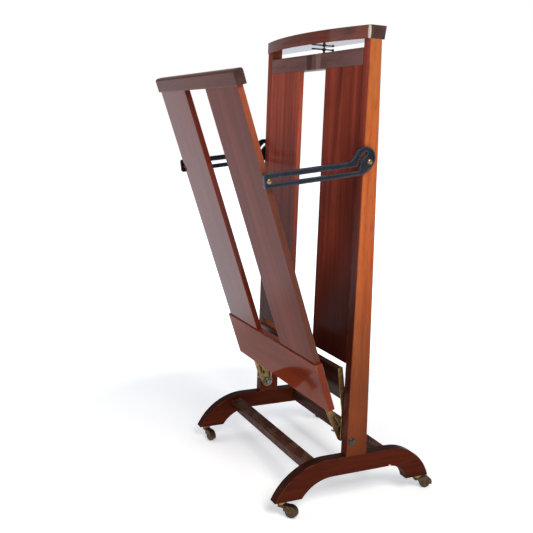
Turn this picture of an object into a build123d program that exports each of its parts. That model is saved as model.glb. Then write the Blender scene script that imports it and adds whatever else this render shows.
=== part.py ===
"""Gentleman's valet stand with a swinging two-board panel that presses trousers.

Frame: +X to the right seen from the front, +Y to the rear, +Z up, millimetres.
The origin is on the floor, under the middle of the two feet. The stand is
modelled with the swinging panel open against its stop, the way it stands in use.
"""
from build123d import *
import os
from math import atan2, cos, degrees, radians, sin, sqrt

os.makedirs("parts", exist_ok=True)

# ---------------------------------------------------------------- sizes (mm)
STAND_WIDTH = 476.0
SIDE_THICK = 25.0
HALF = STAND_WIDTH / 2
INNER = HALF - SIDE_THICK
SIDE_MID = HALF - SIDE_THICK / 2

FOOT_END = 200.0
FOOT_BOTTOM = 35.0
FOOT_TOP = 116.0
FOOT_TOP_FRONT = -72.0
FOOT_TOP_REAR = 90.0
ARCH_TOP = 74.5
ARCH_FRONT = (-134.5, -60.0)
ARCH_REAR = (88.0, 138.9)

POST_FRONT = -28.0
POST_REAR_BASE = 24.3
POST_REAR_TOP = -0.6
POST_TOP = 1009.0

FIXED_BOARD_THICK = 11.0
FIXED_BOARD_GAP = 120.0
FIXED_BOARD_BOTTOM = 324.0
CROSSBAR_BOTTOM = 958.7
CROSSBAR_TOP = 993.7
CROSSBAR_DEPTH = 25.0

TOP_RAIL_HEIGHT = 27.0
TOP_RAIL_FRONT_END = -30.0
TOP_RAIL_BOW = 32.0
TOP_RAIL_REAR_LOW = 4.5
TOP_RAIL_REAR_HIGH = 8.0

STRETCHER_SIZE = 27.0
FRONT_STRETCHER = (-94.4, 89.1, 17.7)
REAR_STRETCHER = (86.5, 93.5, -3.0)

HINGE_Y = -16.2
HINGE_Z = 149.6
PANEL_TILT = 19.4
CLAMP_TILT = 9.3
BOLT_R = 4.0
RUNNING = 0.06
BODY_GAP = 0.3

PANEL_FRONT = 34.5
RAIL_LOW = 94.4
RAIL_HIGH = 208.0
BOARD_HIGH = 806.5
PANEL_HIGH = 838.2
BOTTOM_RAIL_THICK = 16.0
BOTTOM_RAIL_WIDTH = 479.0
TOP_PANEL_RAIL_THICK = 22.0
TOP_PANEL_RAIL_WIDTH = 477.0
PANEL_BOARD_FRONT = 31.2
PANEL_BOARD_THICK = 13.0
PANEL_BOARD_GAP = 128.0
PANEL_BOARDS_WIDTH = 463.0
TONGUE = 6.0
TONGUE_THICK = 5.0

BRACKET_X = 195.0
PLATE_THICK = 3.0
CLAMP_PLATE_X = 205.2
CLAMP_LOW = 91.0
CLAMP_HIGH = 165.0
CLAMP_THICK = 12.0
CLAMP_FACE = 1.0

ARM_Y = -18.4
ARM_Z = 764.1
ARM_DROP = 7.5
ARM_INNER_X = HALF + 2.2
ARM_THICK = 6.0
ARM_OUTER_X = ARM_INNER_X + ARM_THICK
ARM_TOP = 5.4
ARM_BOTTOM = -25.2
ARM_END = 241.5
SLOT_LINE = -10.85
SLOT_WIDTH = 8.7
SLOT_INNER = 28.0
PIN_REST = 231.2
CURL_WIDTH = 7.0
RIB_WIDTH = 2.8
RIB_HEIGHT = 1.4
HEAD_R = 6.0
HEAD_HEIGHT = 3.2

TIE_X = 12.0
TIE_Y = -7.0
TIE_PIN_R = 1.5

CASTER_Y = 178.0
CASTER_TRAIL = 22.0
WHEEL_R = 13.0
WHEEL_WIDTH = 11.0
HOOD_R = 15.6
HOOD_GAP = 0.9
HOOD_ROUND = 0.8
CHEEK = 2.0
CHEEK_EAR_R = 8.0
SKIRT_REAR = -4.5
SKIRT_FRONT = 2.0
NECK_HALF = 6.5
NECK_DEPTH = 7.0
STEM_R = 3.5

EDGE = 1.2
ARRIS = 0.8
TONGUE_INSET = 5.0
SCREW_SLOT = 0.9
SLOT_DEPTH = 0.6
DOME_STEPS = 6


# ---------------------------------------------------------------- planes
def swing_plane(tilt, x=0.0):
    """Side-view plane of a piece on the hinge: local x to its rear, y up along it."""
    rear = (0, cos(radians(tilt)), sin(radians(tilt)))
    return Plane(origin=(x, HINGE_Y, HINGE_Z), x_dir=rear, z_dir=(1, 0, 0))


def face_plane(tilt, out):
    """Front-view plane of a piece on the hinge, out mm in front of the axis."""
    front = Vector(0, -cos(radians(tilt)), -sin(radians(tilt)))
    return Plane(origin=Vector(0, HINGE_Y, HINGE_Z) + front * out, x_dir=(1, 0, 0), z_dir=front)


def arm_plane(x):
    """Side view of an arm about its pivot: local x to its outer end, y up."""
    outward = (0, -cos(radians(ARM_DROP)), -sin(radians(ARM_DROP)))
    return Plane(origin=(x, ARM_Y, ARM_Z), x_dir=outward, z_dir=(-1, 0, 0))


def side_axis(side, y, z):
    """Plane whose normal points out of the given side (+1 right, -1 left), at y, z."""
    return Plane(origin=(0, y, z), x_dir=(0, side, 0), z_dir=(side, 0, 0))


PANEL_SIDE = swing_plane(PANEL_TILT)
CLAMP_SIDE = swing_plane(CLAMP_TILT)


def save(builder, name):
    """Write a piece under its node name."""
    builder.part.label = name
    export_step(builder.part, f"parts/{name}.step")


def turned(plane, profile):
    """Solid of revolution: profile is (height along the plane's normal, radius) pairs."""
    section = Plane(origin=plane.origin, x_dir=plane.x_dir, z_dir=-plane.y_dir)
    with BuildPart() as piece:
        with BuildSketch(section):
            with BuildLine():
                Polyline([(r, h) for h, r in profile], close=True)
            make_face()
        revolve(axis=Axis(plane.origin, plane.z_dir))
    return piece.part


def screw(plane, shank_r, length, head):
    """A round-headed slotted screw, its head (radius, height) above the plane."""
    head_r, head_height = head
    shank = [(-length, 0), (-length, shank_r), (0, shank_r)]
    floor = head_height * (1 - SLOT_DEPTH)
    with BuildPart() as piece:
        add(turned(plane, shank + dome(head_r, 0, head_height)))
        with BuildSketch(plane.offset(floor)):
            Rectangle(2 * head_r, SCREW_SLOT)
        extrude(amount=head_height, mode=Mode.SUBTRACT)
    return piece.part


def dome(radius, base, height):
    """Profile points of a low round head, from its rim to its crown."""
    angles = [radians(90 * i / DOME_STEPS) for i in range(DOME_STEPS + 1)]
    return [(base + height * sin(a), radius * cos(a)) for a in angles]


# ---------------------------------------------------------------- feet and posts
TENON_THICK = 10.0
TENON_FRONT = -20.0
TENON_REAR = 16.0
TENON_DEPTH = 28.0
FOOT_SCREW_Y = (-9.0, 5.0)
FOOT_SCREW_R = 2.2
FOOT_SCREW_LENGTH = 26.0
STRETCHER_TENON = 13.0
STRETCHER_TENON_DEPTH = 9.0
STEM_HOLE_R = 4.6
STEM_HOLE_SPARE = 2.0
STEM_TOP = 62.0


def stretcher_plane(spec, x):
    y, z, turn = spec
    along = (0, cos(radians(turn)), sin(radians(turn)))
    return Plane(origin=(x, y, z), x_dir=along, z_dir=(1, 0, 0))


def make_foot(side, name):
    low_x = min(side * INNER, side * HALF)
    tenon_mid = (TENON_FRONT + TENON_REAR) / 2
    with BuildPart() as foot:
        with BuildSketch(Plane.YZ.offset(low_x)):
            with BuildLine():
                Line((-FOOT_END, FOOT_BOTTOM), (ARCH_FRONT[0], FOOT_BOTTOM))
                TangentArc((ARCH_FRONT[1], ARCH_TOP), (ARCH_FRONT[0], FOOT_BOTTOM), tangent=(-1, 0))
                Line((ARCH_FRONT[1], ARCH_TOP), (ARCH_REAR[0], ARCH_TOP))
                TangentArc((ARCH_REAR[0], ARCH_TOP), (ARCH_REAR[1], FOOT_BOTTOM), tangent=(1, 0))
                Line((ARCH_REAR[1], FOOT_BOTTOM), (FOOT_END, FOOT_BOTTOM))
                TangentArc((FOOT_TOP_REAR, FOOT_TOP), (FOOT_END, FOOT_BOTTOM), tangent=(1, 0))
                Line((FOOT_TOP_REAR, FOOT_TOP), (FOOT_TOP_FRONT, FOOT_TOP))
                TangentArc((FOOT_TOP_FRONT, FOOT_TOP), (-FOOT_END, FOOT_BOTTOM), tangent=(-1, 0))
            make_face()
        extrude(amount=SIDE_THICK)
        fillet(foot.faces().filter_by(Axis.X).edges(), EDGE)
        with BuildSketch(Plane.XY.offset(FOOT_TOP)):
            with Locations((side * SIDE_MID, tenon_mid)):
                Rectangle(TENON_THICK, TENON_REAR - TENON_FRONT)
        extrude(amount=-TENON_DEPTH, mode=Mode.SUBTRACT)
        with BuildSketch(Plane.XY.offset(ARCH_TOP)):
            with Locations([(side * SIDE_MID, y) for y in FOOT_SCREW_Y]):
                Circle(FOOT_SCREW_R)
        extrude(amount=FOOT_TOP - ARCH_TOP, mode=Mode.SUBTRACT)
        with BuildSketch(Plane.XY.offset(FOOT_BOTTOM)):
            with Locations([(side * SIDE_MID, y) for y in (-CASTER_Y, CASTER_Y)]):
                Circle(STEM_HOLE_R)
        extrude(amount=STEM_TOP + STEM_HOLE_SPARE - FOOT_BOTTOM, mode=Mode.SUBTRACT)
        for spec in (FRONT_STRETCHER, REAR_STRETCHER):
            with BuildSketch(stretcher_plane(spec, side * INNER)):
                Rectangle(STRETCHER_TENON, STRETCHER_TENON)
            extrude(amount=side * STRETCHER_TENON_DEPTH, mode=Mode.SUBTRACT)
    save(foot, name)


make_foot(1, "foot_right")
make_foot(-1, "foot_left")

BOARD_Y = POST_FRONT + FIXED_BOARD_THICK / 2
CROSS_Y = POST_FRONT + CROSSBAR_DEPTH / 2
CROSS_Z = (CROSSBAR_BOTTOM + CROSSBAR_TOP) / 2
CROSS_TENON = (14.0, 12.0, 22.0)
TOP_TENON = (12.0, 14.0, 12.0)
TOP_TENON_Y = -15.0
ARM_THREAD_R = 2.5
ARM_THREAD_DEPTH = 16.0


def make_post(side, name):
    low_x = min(side * INNER, side * HALF)
    with BuildPart() as post:
        with BuildSketch(Plane.YZ.offset(low_x)):
            with BuildLine():
                Polyline(
                    (POST_FRONT, FOOT_TOP),
                    (POST_REAR_BASE, FOOT_TOP),
                    (POST_REAR_TOP, POST_TOP),
                    (POST_FRONT, POST_TOP),
                    close=True,
                )
            make_face()
        extrude(amount=SIDE_THICK)
        upright = [e for e in post.edges() if e.length > POST_TOP - FOOT_TOP - 5]
        chamfer(upright, EDGE)
        with BuildSketch(Plane.XY.offset(FOOT_TOP)):
            with Locations((side * SIDE_MID, (TENON_FRONT + TENON_REAR) / 2)):
                Rectangle(TENON_THICK, TENON_REAR - TENON_FRONT)
        extrude(amount=-TENON_DEPTH)
        with BuildSketch(Plane.XY.offset(FOOT_TOP - TENON_DEPTH)):
            with Locations([(side * SIDE_MID, y) for y in FOOT_SCREW_Y]):
                Circle(FOOT_SCREW_R)
        extrude(amount=FOOT_SCREW_LENGTH, mode=Mode.SUBTRACT)
        with BuildSketch(Plane.XY.offset(POST_TOP)):
            with Locations((side * SIDE_MID, TOP_TENON_Y)):
                Rectangle(TOP_TENON[0], TOP_TENON[1])
        extrude(amount=TOP_TENON[2])
        inner_face = Plane.YZ.offset(side * INNER)
        with BuildSketch(inner_face):
            with Locations((BOARD_Y, (FIXED_BOARD_BOTTOM + CROSSBAR_BOTTOM) / 2)):
                Rectangle(TONGUE_THICK, CROSSBAR_BOTTOM - FIXED_BOARD_BOTTOM)
        extrude(amount=side * TONGUE, mode=Mode.SUBTRACT)
        with BuildSketch(inner_face):
            with Locations((CROSS_Y, CROSS_Z)):
                Rectangle(CROSS_TENON[1], CROSS_TENON[2])
        extrude(amount=side * CROSS_TENON[0], mode=Mode.SUBTRACT)
        with BuildSketch(inner_face):
            with Locations((HINGE_Y, HINGE_Z)):
                Circle(BOLT_R)
        extrude(amount=side * SIDE_THICK, mode=Mode.SUBTRACT)
        with BuildSketch(Plane.YZ.offset(side * HALF)):
            with Locations((ARM_Y, ARM_Z)):
                Circle(ARM_THREAD_R)
        extrude(amount=-side * ARM_THREAD_DEPTH, mode=Mode.SUBTRACT)
    save(post, name)


make_post(1, "post_right")
make_post(-1, "post_left")

FOOT_SCREW_HEAD = (4.0, 2.8)
with BuildPart() as foot_screws:
    for side in (1, -1):
        for y in FOOT_SCREW_Y:
            under = Plane(origin=(side * SIDE_MID, y, ARCH_TOP), x_dir=(1, 0, 0), z_dir=(0, 0, -1))
            top = FOOT_SCREW_LENGTH + FOOT_TOP - TENON_DEPTH - ARCH_TOP
            add(screw(under, FOOT_SCREW_R, top, FOOT_SCREW_HEAD))
save(foot_screws, "foot_screws")

# ---------------------------------------------------------------- stretchers
REED_R = 1.6
STRETCHER_ROUND = 2.5
REED_POSITIONS = (-8.0, 0.0, 8.0)


def make_stretcher(spec, faces, name):
    """A square rail with three reeds sunk in the faces named by their turn."""
    half = STRETCHER_SIZE / 2
    with BuildPart() as rail:
        with BuildSketch(stretcher_plane(spec, -INNER)):
            RectangleRounded(STRETCHER_SIZE, STRETCHER_SIZE, STRETCHER_ROUND)
            for turn in faces:
                spots = [Vector(p, half).rotate(Axis.Z, turn) for p in REED_POSITIONS]
                with Locations(spots):
                    Circle(REED_R, mode=Mode.SUBTRACT)
        extrude(amount=2 * INNER)
        for x in (-INNER - STRETCHER_TENON_DEPTH, INNER):
            with BuildSketch(stretcher_plane(spec, x)):
                Rectangle(STRETCHER_TENON, STRETCHER_TENON)
            extrude(amount=STRETCHER_TENON_DEPTH)
    save(rail, name)


make_stretcher(FRONT_STRETCHER, (0, 90), "front_stretcher")
make_stretcher(REAR_STRETCHER, (0, -90), "rear_stretcher")

# ---------------------------------------------------------------- fixed boards and rails
BOARD_INNER = FIXED_BOARD_GAP / 2
BOARD_WIDTH = INNER - BOARD_INNER
CROSS_TONGUE = 5.0


def make_fixed_board(side, name):
    mid_z = (FIXED_BOARD_BOTTOM + CROSSBAR_BOTTOM) / 2
    height = CROSSBAR_BOTTOM - FIXED_BOARD_BOTTOM
    with BuildPart() as board:
        with BuildSketch(Plane.XZ.offset(-POST_FRONT)):
            with Locations((side * (BOARD_INNER + INNER) / 2, mid_z)):
                Rectangle(BOARD_WIDTH, height)
        extrude(amount=-FIXED_BOARD_THICK)
        free_edges = board.edges().filter_by(Axis.Z).sort_by(Axis.X)
        chamfer(free_edges[:2] if side > 0 else free_edges[-2:], ARRIS)
        with BuildSketch(Plane.XZ.offset(-(BOARD_Y - TONGUE_THICK / 2))):
            with Locations((side * (INNER + TONGUE / 2), mid_z)):
                Rectangle(TONGUE, height)
            with Locations((side * (BOARD_INNER + INNER) / 2, CROSSBAR_BOTTOM + CROSS_TONGUE / 2)):
                Rectangle(BOARD_WIDTH - TONGUE_INSET, CROSS_TONGUE)
        extrude(amount=-TONGUE_THICK)
    save(board, name)


make_fixed_board(1, "fixed_board_right")
make_fixed_board(-1, "fixed_board_left")

TIE_PIN_SINK = 9.0
with BuildPart() as crossbar:
    with BuildSketch(Plane.XZ.offset(-POST_FRONT)):
        with Locations((0, CROSS_Z)):
            Rectangle(2 * INNER, CROSSBAR_TOP - CROSSBAR_BOTTOM)
    extrude(amount=-CROSSBAR_DEPTH)
    chamfer(crossbar.edges().filter_by(Axis.X), ARRIS)
    with BuildSketch(Plane.XZ.offset(-(CROSS_Y - CROSS_TENON[1] / 2))):
        with Locations([(s * (INNER + CROSS_TENON[0] / 2), CROSS_Z) for s in (1, -1)]):
            Rectangle(CROSS_TENON[0], CROSS_TENON[2])
    extrude(amount=-CROSS_TENON[1])
    with BuildSketch(Plane.XY.offset(CROSSBAR_BOTTOM)):
        with Locations([(s * (BOARD_INNER + INNER) / 2, BOARD_Y) for s in (1, -1)]):
            Rectangle(BOARD_WIDTH - TONGUE_INSET, TONGUE_THICK)
    extrude(amount=CROSS_TONGUE, mode=Mode.SUBTRACT)
    with BuildSketch(Plane.XY.offset(CROSSBAR_TOP)):
        with Locations((TIE_X, TIE_Y)):
            Circle(TIE_PIN_R)
    extrude(amount=-TIE_PIN_SINK, mode=Mode.SUBTRACT)
save(crossbar, "crossbar")

TOP_RAIL_CORNER = 3.0
TOP_RAIL_ROUND = 1.6
TOP_RAIL_LIP = 2.0
lip = POST_TOP + TOP_RAIL_HEIGHT - TOP_RAIL_LIP
clear_of_rail = TOP_RAIL_REAR_HIGH + 5
with BuildPart() as top_rail:
    with BuildSketch(Plane.XY.offset(POST_TOP)):
        with BuildLine():
            front_end = (HALF, TOP_RAIL_FRONT_END)
            ThreePointArc(
                (-HALF, TOP_RAIL_FRONT_END),
                (0, TOP_RAIL_FRONT_END - TOP_RAIL_BOW),
                front_end,
            )
            Polyline(
                front_end,
                (HALF, TOP_RAIL_REAR_HIGH),
                (-HALF, TOP_RAIL_REAR_HIGH),
                (-HALF, TOP_RAIL_FRONT_END),
            )
        make_face()
        fillet(vertices().group_by(Axis.Y)[0], TOP_RAIL_CORNER)
    extrude(amount=TOP_RAIL_HEIGHT)
    fillet(top_rail.faces().sort_by(Axis.Z)[-1].edges(), TOP_RAIL_ROUND)
    with BuildSketch(Plane.YZ.offset(-HALF)):
        with BuildLine():
            Polyline(
                (TOP_RAIL_REAR_LOW, POST_TOP),
                (TOP_RAIL_REAR_HIGH, lip),
                (clear_of_rail, lip),
                (clear_of_rail, POST_TOP),
                close=True,
            )
        make_face()
    extrude(amount=STAND_WIDTH, mode=Mode.SUBTRACT)
    with BuildSketch(Plane.XY.offset(POST_TOP)):
        with Locations([(s * SIDE_MID, TOP_TENON_Y) for s in (1, -1)]):
            Rectangle(TOP_TENON[0], TOP_TENON[1])
    extrude(amount=TOP_TENON[2], mode=Mode.SUBTRACT)
    with BuildSketch(Plane.XY.offset(POST_TOP)):
        with Locations((TIE_X, TIE_Y)):
            Circle(TIE_PIN_R)
    extrude(amount=TIE_PIN_SINK, mode=Mode.SUBTRACT)
save(top_rail, "top_rail")

# ---------------------------------------------------------------- swivelling tie bar
TIE_BAR_Z = 1004.4
TIE_BAR_R = 1.7
TIE_HUB_R = 3.8
TIE_HUB_HALF = 2.9
TIE_FRONT = 31.0
TIE_REAR = 23.0
TIE_KNOB_R = 3.2
TIE_STEM_R = 2.6
TIE_FOOT_R = 4.2

tie_foot = Plane(origin=(TIE_X, TIE_Y, CROSSBAR_TOP), x_dir=(1, 0, 0), z_dir=(0, 0, 1))
pin_top = POST_TOP + TIE_PIN_SINK - CROSSBAR_TOP
shoulder = TIE_BAR_Z - TIE_HUB_HALF - BODY_GAP - CROSSBAR_TOP
with BuildPart() as tie_pin:
    add(turned(tie_foot, [
        (-TIE_PIN_SINK, 0),
        (-TIE_PIN_SINK, TIE_PIN_R),
        (0, TIE_PIN_R),
        (0, TIE_FOOT_R),
        (1.0, TIE_FOOT_R),
        (1.8, TIE_STEM_R),
        (shoulder, TIE_STEM_R),
        (shoulder, TIE_PIN_R),
        (pin_top, TIE_PIN_R),
        (pin_top, 0),
    ]))
save(tie_pin, "tie_pin")

with BuildPart() as tie_bar:
    bar_start = Plane.XZ.offset(-(TIE_Y - TIE_FRONT))
    with BuildSketch(bar_start):
        with Locations((TIE_X, TIE_BAR_Z)):
            Circle(TIE_BAR_R)
    extrude(amount=-(TIE_FRONT + TIE_REAR))
    with Locations((TIE_X, TIE_Y - TIE_FRONT, TIE_BAR_Z)):
        Sphere(TIE_BAR_R)
    with Locations((TIE_X, TIE_Y + TIE_REAR, TIE_BAR_Z)):
        Sphere(TIE_KNOB_R)
    with Locations((TIE_X, TIE_Y, TIE_BAR_Z)):
        Cylinder(TIE_HUB_R, 2 * TIE_HUB_HALF)
        Cylinder(TIE_PIN_R + RUNNING, 4 * TIE_HUB_HALF, mode=Mode.SUBTRACT)
save(tie_bar, "tie_bar")

# ---------------------------------------------------------------- swinging panel
PANEL_BOARD_MID = PANEL_BOARD_FRONT - PANEL_BOARD_THICK / 2
PANEL_BOARD_INNER = PANEL_BOARD_GAP / 2
PANEL_BOARD_OUTER = PANEL_BOARDS_WIDTH / 2
PANEL_BOARD_WIDTH = PANEL_BOARD_OUTER - PANEL_BOARD_INNER


def panel_tongues(builder_mode):
    """The tongues of both boards, at the rails above and below them."""
    for s in (RAIL_HIGH - TONGUE / 2, BOARD_HIGH + TONGUE / 2):
        with BuildSketch(face_plane(PANEL_TILT, PANEL_BOARD_MID - TONGUE_THICK / 2)) as ends:
            with Locations([(k * (PANEL_BOARD_INNER + PANEL_BOARD_OUTER) / 2, s) for k in (1, -1)]):
                Rectangle(PANEL_BOARD_WIDTH - TONGUE_INSET, TONGUE)
        extrude(ends.sketch, amount=TONGUE_THICK, mode=builder_mode)


def make_panel_board(side, name):
    mid_x = side * (PANEL_BOARD_INNER + PANEL_BOARD_OUTER) / 2
    with BuildPart() as board:
        with BuildSketch(face_plane(PANEL_TILT, PANEL_BOARD_FRONT - PANEL_BOARD_THICK)):
            with Locations((mid_x, (RAIL_HIGH + BOARD_HIGH) / 2)):
                Rectangle(PANEL_BOARD_WIDTH, BOARD_HIGH - RAIL_HIGH)
        extrude(amount=PANEL_BOARD_THICK)
        long_edges = [e for e in board.edges() if e.length > BOARD_HIGH - RAIL_HIGH - 5]
        fillet(long_edges, EDGE)
        with BuildSketch(face_plane(PANEL_TILT, PANEL_BOARD_MID - TONGUE_THICK / 2)):
            with Locations((mid_x, (RAIL_HIGH + BOARD_HIGH) / 2)):
                Rectangle(PANEL_BOARD_WIDTH - TONGUE_INSET, BOARD_HIGH - RAIL_HIGH + 2 * TONGUE)
        extrude(amount=TONGUE_THICK)
    save(board, name)


make_panel_board(1, "panel_board_right")
make_panel_board(-1, "panel_board_left")

RAIL_BACK = PANEL_FRONT - BOTTOM_RAIL_THICK
FLANGE_X = 177.0
FLANGE_TOP = 142.0
FLANGE_SCREW_X = 184.0
FLANGE_SCREW_S = (104.0, 118.0, 132.0)
FLANGE_SCREW_R = 2.0
FLANGE_SCREW_DEPTH = 11.0
FLANGE_SCREW_HEAD = (3.6, 1.7)
RAIL_BEVEL = 1.5
screw_spots = [(k * FLANGE_SCREW_X, s) for k in (1, -1) for s in FLANGE_SCREW_S]

with BuildPart() as panel_bottom_rail:
    with BuildSketch(PANEL_SIDE.offset(-BOTTOM_RAIL_WIDTH / 2)):
        with BuildLine():
            Polyline(
                (-PANEL_FRONT, RAIL_LOW),
                (-RAIL_BACK, RAIL_LOW),
                (-RAIL_BACK, RAIL_HIGH),
                (-PANEL_FRONT + RAIL_BEVEL, RAIL_HIGH),
                (-PANEL_FRONT, RAIL_HIGH - RAIL_BEVEL),
                close=True,
            )
        make_face()
    extrude(amount=BOTTOM_RAIL_WIDTH)
    chamfer(panel_bottom_rail.faces().filter_by(Axis.X).edges(), ARRIS)
    panel_tongues(Mode.SUBTRACT)
    with BuildSketch(face_plane(PANEL_TILT, RAIL_BACK)):
        with Locations(screw_spots):
            Circle(FLANGE_SCREW_R)
    extrude(amount=FLANGE_SCREW_DEPTH, mode=Mode.SUBTRACT)
save(panel_bottom_rail, "panel_bottom_rail")

PANEL_CAP_ROUND = 6.0
with BuildPart() as panel_top_rail:
    back = PANEL_FRONT - TOP_PANEL_RAIL_THICK
    with BuildSketch(PANEL_SIDE.offset(-TOP_PANEL_RAIL_WIDTH / 2)):
        with BuildLine():
            Polyline(
                (-PANEL_FRONT, BOARD_HIGH),
                (-back, BOARD_HIGH),
                (-back, PANEL_HIGH),
                (-PANEL_FRONT, PANEL_HIGH),
                close=True,
            )
        make_face()
        fillet(vertices().group_by(Axis.Y)[-1], PANEL_CAP_ROUND)
        fillet(vertices().group_by(Axis.Y)[0], ARRIS)
    extrude(amount=TOP_PANEL_RAIL_WIDTH)
    fillet(panel_top_rail.faces().filter_by(Axis.X).edges(), ARRIS)
    panel_tongues(Mode.SUBTRACT)
save(panel_top_rail, "panel_top_rail")

# ---------------------------------------------------------------- panel brackets
EYE_R = 14.0
STRAP_TOP = 100.0
FLANGE_LOW = 40.0
SIDE_PLATE = (
    (-EYE_R, 2.0),
    (-RAIL_BACK, FLANGE_LOW - 2.0),
    (-RAIL_BACK, STRAP_TOP),
    (-RAIL_BACK + PLATE_THICK, STRAP_TOP),
    (-10.5, 80.0),
    (EYE_R - 1.0, 6.0),
    (0.0, 0.0),
)
WINDOW = ((-9.0, 25.0), (2.0, 25.0), (-6.0, 50.0), (-11.0, 57.0))
FLANGE = (
    (BRACKET_X + PLATE_THICK, FLANGE_LOW),
    (BRACKET_X + PLATE_THICK, FLANGE_TOP),
    (FLANGE_X, FLANGE_TOP),
    (FLANGE_X, RAIL_LOW + 4.0),
    (BRACKET_X - 3.0, FLANGE_LOW),
)


def make_bracket(side, name):
    inner_x = side * BRACKET_X
    with BuildPart() as bracket:
        with BuildSketch(swing_plane(PANEL_TILT, inner_x)):
            with BuildLine():
                Polyline(*SIDE_PLATE, close=True)
            make_face()
            Circle(EYE_R)
            with BuildLine():
                Polyline(*WINDOW, close=True)
            make_face(mode=Mode.SUBTRACT)
        extrude(amount=side * PLATE_THICK)
        with BuildSketch(face_plane(PANEL_TILT, RAIL_BACK - PLATE_THICK)):
            with BuildLine():
                Polyline([(side * x, height) for x, height in FLANGE], close=True)
            make_face()
        extrude(amount=PLATE_THICK)
        with BuildSketch(swing_plane(PANEL_TILT, inner_x - side * 1)):
            Circle(BOLT_R + RUNNING)
        extrude(amount=side * (PLATE_THICK + 2), mode=Mode.SUBTRACT)
        with BuildSketch(face_plane(PANEL_TILT, RAIL_BACK)):
            with Locations([(side * FLANGE_SCREW_X, s) for s in FLANGE_SCREW_S]):
                Circle(FLANGE_SCREW_R)
        extrude(amount=-PLATE_THICK, mode=Mode.SUBTRACT)
    save(bracket, name)


make_bracket(1, "bracket_right")
make_bracket(-1, "bracket_left")

with BuildPart() as bracket_screws:
    flange_back = face_plane(PANEL_TILT, RAIL_BACK - PLATE_THICK)
    for x, s in screw_spots:
        spot = flange_back.from_local_coords(Vector(x, s, 0))
        out = Plane(origin=spot, x_dir=(1, 0, 0), z_dir=-flange_back.z_dir)
        add(screw(out, FLANGE_SCREW_R, PLATE_THICK + FLANGE_SCREW_DEPTH, FLANGE_SCREW_HEAD))
save(bracket_screws, "bracket_screws")

# ---------------------------------------------------------------- torsion springs
WIRE_R = 1.4
KNUCKLE_R = 1.48
COIL_R = 9.0
COIL_START = BRACKET_X - WIRE_R - BODY_GAP
COIL_WIDTH = 4.6
REAR_LEG_LEAN = 12.6
REAR_LEG = 104.0
COIL_TURNS = 1.5 - REAR_LEG_LEAN / 360
HOOK_RISE = 12.0
HOOK_WIDTH = 8.0
HOOK_REACH = RAIL_BACK + WIRE_R + 0.1
HOOK_LEVEL = 22.0


def wire(start, end):
    """A straight round length of spring wire with a rounded tip."""
    run = Vector(end) - Vector(start)
    with BuildSketch(Plane(origin=start, z_dir=run)) as section:
        Circle(WIRE_R)
    extrude(section.sketch, amount=run.length)
    with Locations(end):
        Sphere(KNUCKLE_R)


def make_spring(side, name):
    coil_plane = swing_plane(PANEL_TILT, side * COIL_START)
    front = -coil_plane.x_dir
    up = coil_plane.y_dir
    centre = coil_plane.origin
    inward = Vector(-side, 0, 0)
    lean = radians(REAR_LEG_LEAN)
    first = centre + front * COIL_R
    last = centre + inward * COIL_WIDTH - front * COIL_R * cos(lean) - up * COIL_R * sin(lean)
    bend = first + up * HOOK_RISE
    hook = centre + front * HOOK_REACH + up * HOOK_LEVEL
    winding = Plane(origin=centre, x_dir=front, z_dir=inward)
    turn = Edge.make_helix(COIL_WIDTH / COIL_TURNS, COIL_WIDTH, COIL_R, lefthand=side > 0)
    with BuildPart() as spring:
        with BuildLine() as turns:
            add(winding.from_local_coords(turn))
        coil = turns.edges()[0]
        with BuildSketch(Plane(origin=coil @ 0, z_dir=coil % 0)):
            Circle(WIRE_R)
        sweep(path=coil, is_frenet=True)
        with Locations(first, last):
            Sphere(KNUCKLE_R)
        wire(first, bend)
        wire(bend, hook)
        wire(hook, hook - inward * HOOK_WIDTH)
        wire(last, last + (up * cos(lean) - front * sin(lean)) * REAR_LEG)
    save(spring, name)


make_spring(1, "spring_right")
make_spring(-1, "spring_left")

# ---------------------------------------------------------------- rear clamp rail
CLAMP_BACK = CLAMP_THICK - CLAMP_FACE
CLAMP_SCREW_S = (110.0, 147.0)
CLAMP_SCREW_R = 1.8
CLAMP_SCREW_DEPTH = 14.0
CLAMP_SCREW_HEAD = (3.2, 1.5)
CLAMP_ROUND = 1.5
clamp_screw_spots = [(CLAMP_BACK - CLAMP_THICK / 2, s) for s in CLAMP_SCREW_S]

with BuildPart() as clamp_rail:
    with BuildSketch(CLAMP_SIDE.offset(-CLAMP_PLATE_X)):
        with BuildLine():
            Polyline(
                (-CLAMP_FACE, CLAMP_LOW),
                (CLAMP_BACK, CLAMP_LOW),
                (CLAMP_BACK, CLAMP_HIGH),
                (-CLAMP_FACE, CLAMP_HIGH),
                close=True,
            )
        make_face()
        fillet(vertices(), CLAMP_ROUND)
    extrude(amount=2 * CLAMP_PLATE_X)
    for side in (1, -1):
        with BuildSketch(CLAMP_SIDE.offset(side * CLAMP_PLATE_X)):
            with Locations(clamp_screw_spots):
                Circle(CLAMP_SCREW_R)
        extrude(amount=-side * CLAMP_SCREW_DEPTH, mode=Mode.SUBTRACT)
save(clamp_rail, "clamp_rail")

CLAMP_EYE_R = 11.0
CLAMP_TAPER_TOP = 62.0


def make_clamp_plate(side, name):
    with BuildPart() as plate:
        with BuildSketch(swing_plane(CLAMP_TILT, side * CLAMP_PLATE_X)):
            with BuildLine():
                Polyline(
                    (-CLAMP_EYE_R, 0),
                    (-CLAMP_FACE, CLAMP_TAPER_TOP),
                    (-CLAMP_FACE, CLAMP_HIGH),
                    (CLAMP_BACK, CLAMP_HIGH),
                    (CLAMP_EYE_R, 0),
                    close=True,
                )
            make_face()
            Circle(CLAMP_EYE_R)
            Circle(BOLT_R + RUNNING, mode=Mode.SUBTRACT)
            with Locations(clamp_screw_spots):
                Circle(CLAMP_SCREW_R, mode=Mode.SUBTRACT)
        extrude(amount=side * PLATE_THICK)
    save(plate, name)


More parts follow.
